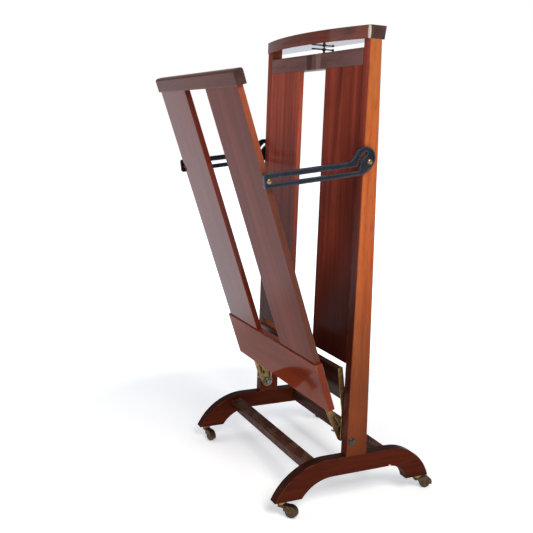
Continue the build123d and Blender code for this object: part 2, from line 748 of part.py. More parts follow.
make_clamp_plate(1, "clamp_plate_right")
make_clamp_plate(-1, "clamp_plate_left")

with BuildPart() as clamp_screws:
    for side in (1, -1):
        face = swing_plane(CLAMP_TILT, side * (CLAMP_PLATE_X + PLATE_THICK))
        for x, s in clamp_screw_spots:
            spot = face.from_local_coords(Vector(x, s, 0))
            out = Plane(origin=spot, x_dir=(0, side, 0), z_dir=(side, 0, 0))
            add(screw(out, CLAMP_SCREW_R, PLATE_THICK + CLAMP_SCREW_DEPTH, CLAMP_SCREW_HEAD))
save(clamp_screws, "clamp_screws")

# ---------------------------------------------------------------- hinge bolts
NUT_FACE = COIL_START - COIL_WIDTH - WIRE_R - BODY_GAP
NUT_R = 7.2
NUT_DEPTH = 6.0
NUT_CHAMFER = 1.6
NUT_DISH_R = 3.4
NUT_DISH_DEPTH = 1.2
BOLT_IN_NUT = 4.0
CAP_R = 9.0
CAP_HEIGHT = 4.0
CLAMP_OUTER_X = CLAMP_PLATE_X + PLATE_THICK
SLEEVES = (
    (NUT_FACE, BRACKET_X - BODY_GAP, 6.5),
    (BRACKET_X + PLATE_THICK + BODY_GAP, CLAMP_PLATE_X - BODY_GAP, 6.0),
    (CLAMP_OUTER_X + BODY_GAP, INNER, 8.0),
)

with BuildPart() as hinge_bolts:
    for side in (1, -1):
        add(turned(side_axis(side, HINGE_Y, HINGE_Z), [
            (NUT_FACE - BOLT_IN_NUT, 0),
            (NUT_FACE - BOLT_IN_NUT, BOLT_R),
            (HALF, BOLT_R),
            (HALF, 0),
        ]))
save(hinge_bolts, "hinge_bolts")

with BuildPart() as hinge_caps:
    for side in (1, -1):
        add(turned(side_axis(side, HINGE_Y, HINGE_Z), [(HALF, 0)] + dome(CAP_R, HALF, CAP_HEIGHT)))
save(hinge_caps, "hinge_caps")

with BuildPart() as hinge_nuts:
    for side in (1, -1):
        end = NUT_FACE - NUT_DEPTH
        add(turned(side_axis(side, HINGE_Y, HINGE_Z), [
            (NUT_FACE - BOLT_IN_NUT, 0),
            (NUT_FACE - BOLT_IN_NUT, BOLT_R),
            (NUT_FACE, BOLT_R),
            (NUT_FACE, NUT_R),
            (end + NUT_CHAMFER, NUT_R),
            (end, NUT_R - NUT_CHAMFER),
            (end, NUT_DISH_R),
            (end + NUT_DISH_DEPTH, NUT_DISH_R - 0.8),
            (end + NUT_DISH_DEPTH, 0),
        ]))
save(hinge_nuts, "hinge_nuts")

with BuildPart() as hinge_sleeves:
    for side in (1, -1):
        for low, high, radius in SLEEVES:
            add(turned(side_axis(side, HINGE_Y, HINGE_Z), [
                (low, BOLT_R),
                (low, radius),
                (high, radius),
                (high, BOLT_R),
            ]))
save(hinge_sleeves, "hinge_sleeves")

# ---------------------------------------------------------------- slotted arms
HEAD_CENTRE = (9.0, 9.0)
HEAD_OUTLINE_R = 23.5
ARM_BORE_R = 3.0
END_ROUND = 5.0
NECK_START = (56.0, ARM_TOP)
NECK_MID = (38.0, 11.6)
BELLY_START = (33.0, ARM_BOTTOM)
BELLY_MID = (5.0, -18.6)
NECK_TURN = 35
CROWN_TURN = 118
HEEL_TURN = 201
CURL_BEND = (26.2, 6.2)
CURL_END = (7.5, 18.5)
CURL_STEPS = 8
SLOT_RIB = 2.2
HEAD_MARGIN = 1.0
WASHER_R = 9.0


def head_point(angle):
    """A point on the arm's round head, angle in degrees from the outer direction."""
    a = radians(angle)
    return (HEAD_CENTRE[0] + HEAD_OUTLINE_R * cos(a), HEAD_CENTRE[1] + HEAD_OUTLINE_R * sin(a))


def arm_outline():
    """Outline of an arm in its own plane: straight body, cam head over the pivot."""
    neck = head_point(NECK_TURN)
    heel = head_point(HEEL_TURN)
    corner = END_ROUND * (1 - sqrt(0.5))
    with BuildLine() as outline:
        Line(NECK_START, (ARM_END - END_ROUND, ARM_TOP))
        ThreePointArc(
            (ARM_END - END_ROUND, ARM_TOP),
            (ARM_END - corner, ARM_TOP - corner),
            (ARM_END, ARM_TOP - END_ROUND),
        )
        Line((ARM_END, ARM_TOP - END_ROUND), (ARM_END, ARM_BOTTOM + END_ROUND))
        ThreePointArc(
            (ARM_END, ARM_BOTTOM + END_ROUND),
            (ARM_END - corner, ARM_BOTTOM + corner),
            (ARM_END - END_ROUND, ARM_BOTTOM),
        )
        Line((ARM_END - END_ROUND, ARM_BOTTOM), BELLY_START)
        ThreePointArc(BELLY_START, BELLY_MID, heel)
        ThreePointArc(heel, head_point(CROWN_TURN), neck)
        ThreePointArc(neck, NECK_MID, NECK_START)
    make_face(outline.edges())


def curl_point(t):
    """A point on the curl that lifts the slot's inner end over the pivot, t from 0 to 1."""
    ends = (1 - t) ** 2, 2 * t * (1 - t), t ** 2
    path = (SLOT_INNER, SLOT_LINE), CURL_BEND, CURL_END
    return Vector(*(sum(w * p[i] for w, p in zip(ends, path)) for i in (0, 1)))


def arm_slot(extra, mode):
    """The straight slot for the pin and the cam curl, grown by extra all round."""
    inner = (SLOT_INNER + PIN_REST) / 2
    with Locations((inner, SLOT_LINE)):
        SlotCenterToCenter(PIN_REST - SLOT_INNER, SLOT_WIDTH + 2 * extra, mode=mode)
    for step in range(CURL_STEPS):
        start = curl_point(step / CURL_STEPS)
        run = curl_point((step + 1) / CURL_STEPS) - start
        turn = degrees(atan2(run.Y, run.X))
        with Locations(start + run / 2):
            SlotCenterToCenter(run.length, CURL_WIDTH + 2 * extra, rotation=turn, mode=mode)


def make_arm(side, name):
    outer = arm_plane(side * ARM_OUTER_X)
    with BuildPart() as arm:
        with BuildSketch(outer):
            arm_outline()
            arm_slot(0, Mode.SUBTRACT)
            Circle(ARM_BORE_R + RUNNING, mode=Mode.SUBTRACT)
        extrude(amount=side * ARM_THICK)
        with BuildSketch(outer):
            arm_outline()
            offset(amount=-RIB_WIDTH, kind=Kind.INTERSECTION)
            arm_slot(SLOT_RIB, Mode.SUBTRACT)
            Circle(HEAD_R + HEAD_MARGIN, mode=Mode.SUBTRACT)
        extrude(amount=side * RIB_HEIGHT, mode=Mode.SUBTRACT)
    save(arm, name)


make_arm(1, "arm_right")
make_arm(-1, "arm_left")

HEAD_BASE = ARM_OUTER_X + BODY_GAP
with BuildPart() as arm_screws:
    for side in (1, -1):
        add(turned(side_axis(side, ARM_Y, ARM_Z), [
            (HALF - ARM_THREAD_DEPTH, 0),
            (HALF - ARM_THREAD_DEPTH, ARM_THREAD_R),
            (HALF, ARM_THREAD_R),
            (HALF, ARM_BORE_R),
            (HEAD_BASE, ARM_BORE_R),
        ] + dome(HEAD_R, HEAD_BASE, HEAD_HEIGHT)))
save(arm_screws, "arm_screws")

with BuildPart() as arm_washers:
    for side in (1, -1):
        add(turned(side_axis(side, ARM_Y, ARM_Z), [
            (HALF, ARM_BORE_R),
            (HALF, WASHER_R),
            (ARM_INNER_X - BODY_GAP, WASHER_R),
            (ARM_INNER_X - BODY_GAP, ARM_BORE_R),
        ]))
save(arm_washers, "arm_washers")

PIN_SHANK_R = 3.4
PIN_COLLAR_R = 5.2
PIN_INNER_X = PANEL_BOARD_OUTER + BODY_GAP


def make_pin(side, name):
    centre = arm_plane(0).from_local_coords(Vector(PIN_REST, SLOT_LINE, 0))
    collar_end = ARM_INNER_X - BODY_GAP
    with BuildPart() as pin:
        add(turned(side_axis(side, centre.Y, centre.Z), [
            (PIN_INNER_X, 0),
            (PIN_INNER_X, PIN_COLLAR_R),
            (collar_end, PIN_COLLAR_R),
            (collar_end, PIN_SHANK_R),
            (HEAD_BASE, PIN_SHANK_R),
        ] + dome(HEAD_R, HEAD_BASE, HEAD_HEIGHT)))
    save(pin, name)


make_pin(1, "arm_pin_right")
make_pin(-1, "arm_pin_left")

# ---------------------------------------------------------------- casters
SOCKET_R = 12.0
SOCKET_BOSS_R = 9.0
SOCKET_PLATE = 2.0
SOCKET_LOW = 28.4
AXLE_R = 2.0
AXLE_HEAD_R = 3.4
AXLE_HEAD = 1.2
TREAD_CHAMFER = 2.0
WHEEL_CLEAR = 0.7
CHEEK_OUTER = WHEEL_WIDTH / 2 + WHEEL_CLEAR + CHEEK
STEM_BLOCK_TOP = SOCKET_LOW - BODY_GAP
STEM_IN_BLOCK = 5.0
CASTERS = (
    ("front_right", 1, -1, 42.0),
    ("rear_right", 1, 1, 80.0),
    ("front_left", -1, -1, 8.0),
    ("rear_left", -1, 1, 182.0),
)

with BuildPart() as caster_sockets:
    for corner, side, end, yaw in CASTERS:
        under = Plane(
            origin=(side * SIDE_MID, end * CASTER_Y, FOOT_BOTTOM), x_dir=(1, 0, 0), z_dir=(0, 0, -1)
        )
        add(turned(under, [
            (0, STEM_R + RUNNING),
            (0, SOCKET_R),
            (SOCKET_PLATE, SOCKET_R),
            (SOCKET_PLATE + 0.4, SOCKET_BOSS_R),
            (FOOT_BOTTOM - SOCKET_LOW, SOCKET_BOSS_R - 0.6),
            (FOOT_BOTTOM - SOCKET_LOW, STEM_R + RUNNING),
        ]))
save(caster_sockets, "caster_sockets")


def make_caster(corner, side, end, yaw):
    """Swivel hood with its stem, the axle riveted across it, and the wheel."""
    trail = Vector(cos(radians(yaw)), sin(radians(yaw)), 0)
    foot = Vector(side * SIDE_MID, end * CASTER_Y, 0)
    profile = Plane(origin=foot, x_dir=trail, z_dir=trail.cross(Vector(0, 0, 1)))
    axle_spot = profile.from_local_coords(Vector(CASTER_TRAIL, WHEEL_R, 0))
    axle_plane = Plane(origin=axle_spot, x_dir=trail, z_dir=profile.z_dir)
    with BuildPart() as hood:
        with BuildSketch(profile):
            with Locations((CASTER_TRAIL, WHEEL_R)):
                Circle(HOOD_R)
            with BuildLine():
                Polyline(
                    (-NECK_HALF, STEM_BLOCK_TOP),
                    (CASTER_TRAIL, STEM_BLOCK_TOP),
                    (CASTER_TRAIL, WHEEL_R + SKIRT_FRONT),
                    (CASTER_TRAIL - HOOD_R + 1, WHEEL_R + SKIRT_FRONT),
                    (NECK_HALF - 1, STEM_BLOCK_TOP - NECK_DEPTH),
                    (-NECK_HALF, STEM_BLOCK_TOP - NECK_DEPTH + 1),
                    close=True,
                )
            make_face()
            with BuildLine():
                Polyline(
                    (CASTER_TRAIL - 2 * HOOD_R, -HOOD_R),
                    (CASTER_TRAIL - 2 * HOOD_R, WHEEL_R + SKIRT_FRONT),
                    (CASTER_TRAIL - HOOD_R, WHEEL_R + SKIRT_FRONT),
                    (CASTER_TRAIL + HOOD_R, WHEEL_R + SKIRT_REAR),
                    (CASTER_TRAIL + 2 * HOOD_R, -HOOD_R),
                    close=True,
                )
            make_face(mode=Mode.SUBTRACT)
            with Locations((CASTER_TRAIL, WHEEL_R)):
                Circle(CHEEK_EAR_R)
        extrude(amount=CHEEK_OUTER, both=True)
        cheeks = hood.faces().filter_by(Axis((0, 0, 0), axle_plane.z_dir))
        chamfer(cheeks.edges(), HOOD_ROUND)
        with BuildSketch(axle_plane):
            Circle(WHEEL_R + HOOD_GAP)
        extrude(amount=CHEEK_OUTER - CHEEK, both=True, mode=Mode.SUBTRACT)
        with BuildSketch(Plane(origin=foot + Vector(0, 0, STEM_BLOCK_TOP - STEM_IN_BLOCK))):
            Circle(STEM_R)
        extrude(amount=STEM_TOP - STEM_BLOCK_TOP + STEM_IN_BLOCK)
        with BuildSketch(axle_plane):
            Circle(AXLE_R)
        extrude(amount=CHEEK_OUTER, both=True, mode=Mode.SUBTRACT)
    save(hood, f"caster_hood_{corner}")
    tip = CHEEK_OUTER + AXLE_HEAD
    with BuildPart() as axle:
        add(turned(axle_plane, [
            (-tip, 0),
            (-tip, AXLE_HEAD_R - 1),
            (-CHEEK_OUTER, AXLE_HEAD_R),
            (-CHEEK_OUTER, AXLE_R),
            (CHEEK_OUTER, AXLE_R),
            (CHEEK_OUTER, AXLE_HEAD_R),
            (tip, AXLE_HEAD_R - 1),
            (tip, 0),
        ]))
    save(axle, f"caster_axle_{corner}")
    rim = WHEEL_WIDTH / 2
    with BuildPart() as wheel:
        add(turned(axle_plane, [
            (-rim, AXLE_R + RUNNING),
            (-rim, WHEEL_R - TREAD_CHAMFER),
            (-rim + TREAD_CHAMFER, WHEEL_R),
            (rim - TREAD_CHAMFER, WHEEL_R),
            (rim, WHEEL_R - TREAD_CHAMFER),
            (rim, AXLE_R + RUNNING),
        ]))
    save(wheel, f"caster_wheel_{corner}")


for caster in CASTERS:
    make_caster(*caster)
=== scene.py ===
import math

import bpy
from mathutils import Euler, Matrix, Vector


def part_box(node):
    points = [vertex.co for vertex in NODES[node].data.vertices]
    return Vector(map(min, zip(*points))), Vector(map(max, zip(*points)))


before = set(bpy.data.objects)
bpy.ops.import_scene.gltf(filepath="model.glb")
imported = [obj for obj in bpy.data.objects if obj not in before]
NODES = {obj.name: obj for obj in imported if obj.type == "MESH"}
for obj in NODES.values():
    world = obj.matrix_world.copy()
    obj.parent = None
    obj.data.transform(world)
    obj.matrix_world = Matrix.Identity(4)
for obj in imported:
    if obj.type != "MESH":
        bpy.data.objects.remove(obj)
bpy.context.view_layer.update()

# ---------------------------------------------------------------- camera and light
CAMERA_SPOT = Vector((1.58331, -0.89149, 0.82802))
CAMERA_AIM = Vector((0.0, -0.12628, 0.50563))
CAMERA_ROLL = math.radians(2.121)
CAMERA_LENS = 51.6
SENSOR = 36.0

FLOOR_SIZE = 30.0
FLOOR_ROUGH = 0.8
FLOOR_WHITE = (0.93, 0.93, 0.94, 1.0)
FLOOR_BLUE = (0.82, 0.90, 1.0, 1.0)
# The floor glows faintly under the stand and strongly away from it, where the panel's
# varnish mirrors it as a pale blue sheen. It changes between NEAR_ENDS and FAR_STARTS.
NEAR_GLOW = 0.33
FAR_GLOW = 1.0
NEAR_ENDS = 0.65
FAR_STARTS = 1.1

# The sky looks white to the camera, and lights the stand at half strength and bluer.
SKY_WHITE = (1.0, 1.0, 1.0, 1.0)
SKY_BLUE = (0.88, 0.94, 1.0, 1.0)
SKY_SEEN = 1.0
SKY_LIGHT = 0.5

LIGHT_AIM = (0.0, -0.1, 0.5)
KEY_SPOT = (2.2, -0.2, 2.3)
KEY_SIZE = 1.2
KEY_POWER = 55.0
KEY_WARM = (1.0, 0.94, 0.86)
FILL_SPOT = (-1.2, -2.6, 1.8)
FILL_SIZE = 2.0
FILL_POWER = 18.0
FILL_WHITE = (1.0, 1.0, 1.0)

# ---------------------------------------------------------------- geometry facts
PANEL_TILT = math.radians(19.4)
ARM_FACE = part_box("arm_right")[1][0]
ARM_RECESS = 0.0014

# Turns that lay a material's grain, its local z, along a piece.
UPRIGHT = (0.0, 0.0, 0.0)
ACROSS = (0.0, math.pi / 2, 0.0)
DEEP = (math.pi / 2, 0.0, 0.0)
PANEL_UP = (PANEL_TILT, 0.0, 0.0)

# ---------------------------------------------------------------- shader helpers
# Sockets of the colour mix node.
MIX_A = 6
MIX_B = 7
MIX_RESULT = 2

BEVEL_SAMPLES = 4
RAMP_MIDDLE = 0.5

# Spans here and below are (input low, input high), and may go on with the outputs there.
# NOISE_CORE holds most of a noise's values, and EDGE_COSINE is flat ground to a sharp edge.
NOISE_CORE = (0.3, 0.7)
EDGE_COSINE = (0.995, 0.90)

# A fade starts at a ragged height and mixes FADE_FLAT of the plain colour into its tint.
FADE_FLAT = 0.3
FADE_WANDER = (*NOISE_CORE, -0.1, 0.1)
FADE_AMOUNT = (0.0, 0.85)


def rgb(r, g, b):
    return (r, g, b, 1.0)


def link(tree, source, target):
    tree.links.new(source, target)


class Graph:
    """Short names for the nodes of one material."""

    def __init__(self, name):
        self.material = bpy.data.materials.new(name)
        self.material.use_nodes = True
        self.tree = self.material.node_tree
        self.tree.nodes.clear()
        out = self.tree.nodes.new("ShaderNodeOutputMaterial")
        self.shader = self.tree.nodes.new("ShaderNodeBsdfPrincipled")
        link(self.tree, self.shader.outputs[0], out.inputs["Surface"])

    def add(self, kind, **values):
        node = self.tree.nodes.new(kind)
        for key, value in values.items():
            setattr(node, key, value)
        return node

    def put(self, socket, value):
        if isinstance(value, bpy.types.NodeSocket):
            link(self.tree, value, socket)
        else:
            socket.default_value = value

    def place(self, turn=UPRIGHT, stretch=(1.0, 1.0, 1.0), shift=(0.0, 0.0, 0.0)):
        """The object's own coordinates, turned so that local z runs along the grain."""
        coords = self.add("ShaderNodeTexCoord")
        undo = Euler(turn).to_matrix().inverted().to_euler()
        spin = self.add("ShaderNodeMapping")
        self.put(spin.inputs["Vector"], coords.outputs["Object"])
        spin.inputs["Rotation"].default_value = undo
        scale = self.add("ShaderNodeMapping")
        self.put(scale.inputs["Vector"], spin.outputs[0])
        scale.inputs["Scale"].default_value = stretch
        scale.inputs["Location"].default_value = shift
        return scale.outputs[0]

    def noise(self, where, scale, detail, rough, warp=0.0):
        node = self.add("ShaderNodeTexNoise")
        self.put(node.inputs["Vector"], where)
        node.inputs["Scale"].default_value = scale
        node.inputs["Detail"].default_value = detail
        node.inputs["Roughness"].default_value = rough
        node.inputs["Distortion"].default_value = warp
        return node.outputs["Fac"]

    def span(self, value, low, high, new_low=0.0, new_high=1.0):
        """value remapped from low..high to new_low..new_high, smoothly and clamped."""
        node = self.add("ShaderNodeMapRange", interpolation_type="SMOOTHSTEP")
        self.put(node.inputs["Value"], value)
        node.inputs["From Min"].default_value = low
        node.inputs["From Max"].default_value = high
        node.inputs["To Min"].default_value = new_low
        node.inputs["To Max"].default_value = new_high
        return node.outputs[0]

    def math(self, operation, a, b=0.0):
        node = self.add("ShaderNodeMath", operation=operation)
        self.put(node.inputs[0], a)
        self.put(node.inputs[1], b)
        return node.outputs[0]

    def mix(self, amount, a, b, blend="MIX"):
        node = self.add("ShaderNodeMix", data_type="RGBA", blend_type=blend)
        self.put(node.inputs[0], amount)
        self.put(node.inputs[MIX_A], a)
        self.put(node.inputs[MIX_B], b)
        return node.outputs[MIX_RESULT]

    def ramp(self, value, spread, light, mid, dark):
        """dark to light through mid, over a band twice spread wide."""
        node = self.add("ShaderNodeValToRGB")
        self.put(node.inputs[0], value)
        stops = node.color_ramp.elements
        stops[0].position = RAMP_MIDDLE - spread
        stops[0].color = dark
        stops[1].position = RAMP_MIDDLE + spread
        stops[1].color = light
        stops.new(RAMP_MIDDLE).color = mid
        return node.outputs[0]

    def fade(self, colour, fades, patch):
        """colour drifting to others with height, each (height it starts, height it is full, colour)."""
        for start, full, other in fades:
            height = self.axis(self.place(), "Z")
            wander = self.math("ADD", height, self.span(patch, *FADE_WANDER))
            deep = self.mix(1.0, colour, other, "MULTIPLY")
            amount = self.span(wander, start, full, *FADE_AMOUNT)
            colour = self.mix(amount, colour, self.mix(FADE_FLAT, other, deep))
        return colour

    def axis(self, where, name):
        node = self.add("ShaderNodeSeparateXYZ")
        self.put(node.inputs[0], where)
        return node.outputs[name]

    def edge_mask(self, radius):
        """1 on sharp edges and corners, 0 on flat ground."""
        bevel = self.add("ShaderNodeBevel", samples=BEVEL_SAMPLES)
        bevel.inputs["Radius"].default_value = radius
        ground = self.add("ShaderNodeNewGeometry")
        dot = self.add("ShaderNodeVectorMath", operation="DOT_PRODUCT")
        self.put(dot.inputs[0], bevel.outputs[0])
        self.put(dot.inputs[1], ground.outputs["True Normal"])
        return self.span(dot.outputs["Value"], *EDGE_COSINE)

    def finish(self, height, strength, distance, rounding):
        """Bump from height over edges softened by rounding. Returns the material."""
        bump = self.add("ShaderNodeBump")
        bump.inputs["Strength"].default_value = strength
        bump.inputs["Distance"].default_value = distance
        self.put(bump.inputs["Height"], height)
        soft = self.add("ShaderNodeBevel", samples=BEVEL_SAMPLES)
        soft.inputs["Radius"].default_value = rounding
        self.put(bump.inputs["Normal"], soft.outputs[0])
        self.put(self.shader.inputs["Normal"], bump.outputs[0])
        return self.material


# ---------------------------------------------------------------- wood
# Stretches of the noises: fine across the grain, long along it.
FIGURE_GRAIN = (9.0, 9.0, 0.9)
STREAK_GRAIN = (70.0, 70.0, 1.6)
PORE_GRAIN = (900.0, 900.0, 28.0)
PATCH_GRAIN = (5.0, 5.0, 2.2)
PATCH_OFFSET = 0.3
SCUFF_GRAIN = (30.0, 30.0, 30.0)
FIGURE_NOISE = {"scale": 1.3, "detail": 5.0, "rough": 0.55, "warp": 1.6}
STREAK_NOISE = {"scale": 1.0, "detail": 6.0, "rough": 0.62, "warp": 0.3}
PORE_NOISE = {"scale": 1.0, "detail": 2.0, "rough": 0.5}
PATCH_NOISE = {"scale": 1.0, "detail": 3.0, "rough": 0.5}
SCUFF_NOISE = {"scale": 1.0, "detail": 5.0, "rough": 0.65}
FIGURE_SHARE = 0.6
STREAK_SHARE = 0.4

FLANK_FACING = (0.5, 0.9)
PORE_STAIN = (0.56, 0.66, 0.0, 0.45)
PATCH_STAIN = (0.52, 0.72, 0.0, 0.35)
STAIN_AND_HIGHLIGHT_WANDER = (*NOISE_CORE, -0.2, 0.2)
STAIN_AND_HIGHLIGHT_FALL = (1.0, 0.5, 0.0, 0.8)
SCUFF_BAND = (0.45, 0.62)
DULL_PATCHES = (0.3, 0.75, 0.25, 0.42)
PORE_ROUGH = (0.5, 0.7, 0.0, 0.08)
PORE_DEPTH = (0.52, 0.66, 0.0, -0.5)
STREAK_DEPTH = 0.5

WEAR_RADIUS = 0.0022
WEAR_ROUGH = 0.2
VARNISH_IOR = 1.24
WOOD_BUMP = {"strength": 0.35, "distance": 0.0006, "rounding": 0.0009}
BARE_EDGE = rgb(0.34, 0.13, 0.05)


def wood(
    name,
    tones,
    turn=UPRIGHT,
    shift=0.0,
    fades=(),
    edge=BARE_EDGE,
    edge_amount=0.35,
    coat=0.4,
    coat_rough=0.2,
    stains_and_highlights=(),
    flank=None,
    flank_fades=(),
    spread=0.14,
):
    """Varnished mahogany: long figure, fine streaks, open pores, worn edges, dull patches.

    tones are the light, mid and dark colours, and flank those of the faces that look
    left and right; on the posts and the panel boards the flank colours are painted light
    and shade. fades, and flank_fades for the flank, each hold (height it starts at, height
    it is full at, colour), and the stained spots and painted highlights hold (where, half
    sizes, colour). edge is the colour that worn edges take, and on the stretchers also a
    painted highlight; spread softens the figure, and coat is the varnish, which gives all
    of the shine.
    """
    g = Graph(name)
    dark = tones[2]
    figure_tone = g.noise(g.place(turn, FIGURE_GRAIN, (shift, shift, shift)), **FIGURE_NOISE)
    streak_tone = g.noise(g.place(turn, STREAK_GRAIN, (shift, 0.0, shift)), **STREAK_NOISE)
    pore_tone = g.noise(g.place(turn, PORE_GRAIN), **PORE_NOISE)
    patch = g.noise(g.place(turn, PATCH_GRAIN, (shift, PATCH_OFFSET, 0.0)), **PATCH_NOISE)
    tone = g.math("ADD", g.math("MULTIPLY", figure_tone, FIGURE_SHARE),
                  g.math("MULTIPLY", streak_tone, STREAK_SHARE))
    colour = g.fade(g.ramp(tone, spread, *tones), fades, patch)
    # Faces that look left and right take their own colours; on the posts and panel boards these are painted
    # light and shade.
    if flank:
        facing = g.add("ShaderNodeTexCoord").outputs["Normal"]
        sideways = g.math("ABSOLUTE", g.axis(facing, "X"))
        side_colour = g.fade(g.ramp(tone, spread, *flank), flank_fades, patch)
        colour = g.mix(g.span(sideways, *FLANK_FACING), colour, side_colour)
    colour = g.mix(g.span(pore_tone, *PORE_STAIN), colour, dark)
    colour = g.mix(g.span(patch, *PATCH_STAIN), colour, dark)
    # Stains, and painted highlights such as the top rail's corner streak, each blend in over a ragged patch.
    for spot, reach, stain_and_highlight_colour in stains_and_highlights:
        away = g.add("ShaderNodeVectorMath", operation="SUBTRACT")
        g.put(away.inputs[0], g.place())
        away.inputs[1].default_value = spot
        share = g.add("ShaderNodeVectorMath", operation="DIVIDE")
        g.put(share.inputs[0], away.outputs[0])
        share.inputs[1].default_value = reach
        size = g.add("ShaderNodeVectorMath", operation="LENGTH")
        g.put(size.inputs[0], share.outputs[0])
        ragged = g.math("ADD", size.outputs["Value"], g.span(patch, *STAIN_AND_HIGHLIGHT_WANDER))
        colour = g.mix(g.span(ragged, *STAIN_AND_HIGHLIGHT_FALL), colour, stain_and_highlight_colour)
    # Edges take a worn colour; on the stretchers it is also a painted highlight along the reeds.
    worn = g.edge_mask(WEAR_RADIUS)
    scuff = g.noise(g.place(UPRIGHT, SCUFF_GRAIN), **SCUFF_NOISE)
    wear_and_highlight = g.math("MULTIPLY", worn, g.span(scuff, *SCUFF_BAND, 0.0, edge_amount))
    g.put(g.shader.inputs["Base Color"], g.mix(wear_and_highlight, colour, edge))
    rough = g.math("ADD", g.span(patch, *DULL_PATCHES), g.span(pore_tone, *PORE_ROUGH))
    g.put(g.shader.inputs["Roughness"], g.math("ADD", rough, g.math("MULTIPLY", wear_and_highlight, WEAR_ROUGH)))
    g.shader.inputs["Specular IOR Level"].default_value = 0.0
    g.shader.inputs["Coat IOR"].default_value = VARNISH_IOR
    g.shader.inputs["Coat Weight"].default_value = coat
    g.shader.inputs["Coat Roughness"].default_value = coat_rough
    streaks = g.math("MULTIPLY", streak_tone, STREAK_DEPTH)
    return g.finish(g.math("ADD", streaks, g.span(pore_tone, *PORE_DEPTH)), **WOOD_BUMP)


# ---------------------------------------------------------------- metals and plastic
METAL_CLOUD = {"detail": 6.0, "rough": 0.6, "warp": 0.6}
METAL_PITS = {"detail": 3.0, "rough": 0.6}
PITS_FINER = 12
TARNISH_BAND = (0.40, 0.62)
PIT_STAIN = (0.58, 0.72, 0.0, 0.5)
CLOUD_SMOOTHER = 0.08
CLOUD_ROUGHER = 0.16
RUB_RADIUS = 0.0012
# Share of the rubbed colour on metal edges, and of the painted highlight on the enamel's edges.
RUB_AND_HIGHLIGHT_SHARE = 0.5
CLOUD_DEPTH = 0.6
PIT_DEPTH = 0.4
METAL_BUMP = {"strength": 0.25, "distance": 0.0004, "rounding": 0.0006}


def metal(name, bright, dull, rough=0.38, speck=60.0, patina=0.55):
    """Aged metal: cloudy tarnish, darker pits and brighter rubbed edges."""
    g = Graph(name)
    here = g.place()
    cloud = g.noise(here, speck, **METAL_CLOUD)
    pits = g.noise(here, speck * PITS_FINER, **METAL_PITS)
    colour = g.mix(g.span(cloud, *TARNISH_BAND, 0.0, patina), bright, dull)
    colour = g.mix(g.span(pits, *PIT_STAIN), colour, dull)
    rubbed = g.edge_mask(RUB_RADIUS)
    colour = g.mix(g.math("MULTIPLY", rubbed, RUB_AND_HIGHLIGHT_SHARE), colour, bright)
    g.put(g.shader.inputs["Base Color"], colour)
    g.shader.inputs["Metallic"].default_value = 1.0
    cloud_rough = g.span(cloud, *NOISE_CORE, rough - CLOUD_SMOOTHER, rough + CLOUD_ROUGHER)
    g.put(g.shader.inputs["Roughness"], cloud_rough)
    clouds = g.math("MULTIPLY", cloud, CLOUD_DEPTH)
    return g.finish(g.math("ADD", clouds, g.math("MULTIPLY", pits, PIT_DEPTH)), **METAL_BUMP)


ENAMEL_PEEL = {"scale": 420.0, "detail": 3.0, "rough": 0.5}
ENAMEL_CLOUD = {"scale": 35.0, "detail": 5.0, "rough": 0.6, "warp": 0.5}
ENAMEL_DEEP = rgb(0.002, 0.0025, 0.005)
ENAMEL_PALE = rgb(0.007, 0.008, 0.014)
# The next two colours are painted highlights: the raised rims paler, the edges bluish.
ENAMEL_RIM_HIGHLIGHT = rgb(0.016, 0.019, 0.030)
ENAMEL_EDGE_HIGHLIGHT = rgb(0.050, 0.060, 0.090)
ENAMEL_WORN = rgb(0.13, 0.085, 0.055)
ENAMEL_MOTTLE = (0.35, 0.65)
RIM_FULL = 0.3
ENAMEL_CHIPS = (0.5, 0.62, 0.0, 0.7)
ENAMEL_ROUGH = (*NOISE_CORE, 0.2, 0.36)
ENAMEL_SPECULAR = 0.2
ENAMEL_COAT = 0.15
ENAMEL_COAT_ROUGH = 0.12
ENAMEL_BUMP = {"strength": 0.25, "distance": 0.0004, "rounding": 0.0008}


def enamel(name):
    """Blue-black enamel on cast iron: orange-peeled, painted paler on the raised rims and bluish along the
    edges as highlights, worn brown at the edges.
    """
    g = Graph(name)
    here = g.place()
    peel = g.noise(here, **ENAMEL_PEEL)
    cloud = g.noise(here, **ENAMEL_CLOUD)
    colour = g.mix(g.span(cloud, *ENAMEL_MOTTLE), ENAMEL_DEEP, ENAMEL_PALE)
    # The raised rims are painted paler as a highlight, which leaves the recess darker.
    depth = g.math("ABSOLUTE", g.axis(here, "X"))
    rim = g.span(depth, ARM_FACE - ARM_RECESS, ARM_FACE - RIM_FULL * ARM_RECESS)
    colour = g.mix(rim, colour, ENAMEL_RIM_HIGHLIGHT)
    # A bluish highlight painted along the edges.
    edges = g.edge_mask(RUB_RADIUS)
    colour = g.mix(g.math("MULTIPLY", edges, RUB_AND_HIGHLIGHT_SHARE), colour, ENAMEL_EDGE_HIGHLIGHT)
    worn = g.math("MULTIPLY", edges, g.span(cloud, *ENAMEL_CHIPS))
    g.put(g.shader.inputs["Base Color"], g.mix(worn, colour, ENAMEL_WORN))
    g.put(g.shader.inputs["Roughness"], g.span(cloud, *ENAMEL_ROUGH))
    g.shader.inputs["Specular IOR Level"].default_value = ENAMEL_SPECULAR
    g.shader.inputs["Coat Weight"].default_value = ENAMEL_COAT
    g.shader.inputs["Coat Roughness"].default_value = ENAMEL_COAT_ROUGH
    return g.finish(peel, **ENAMEL_BUMP)


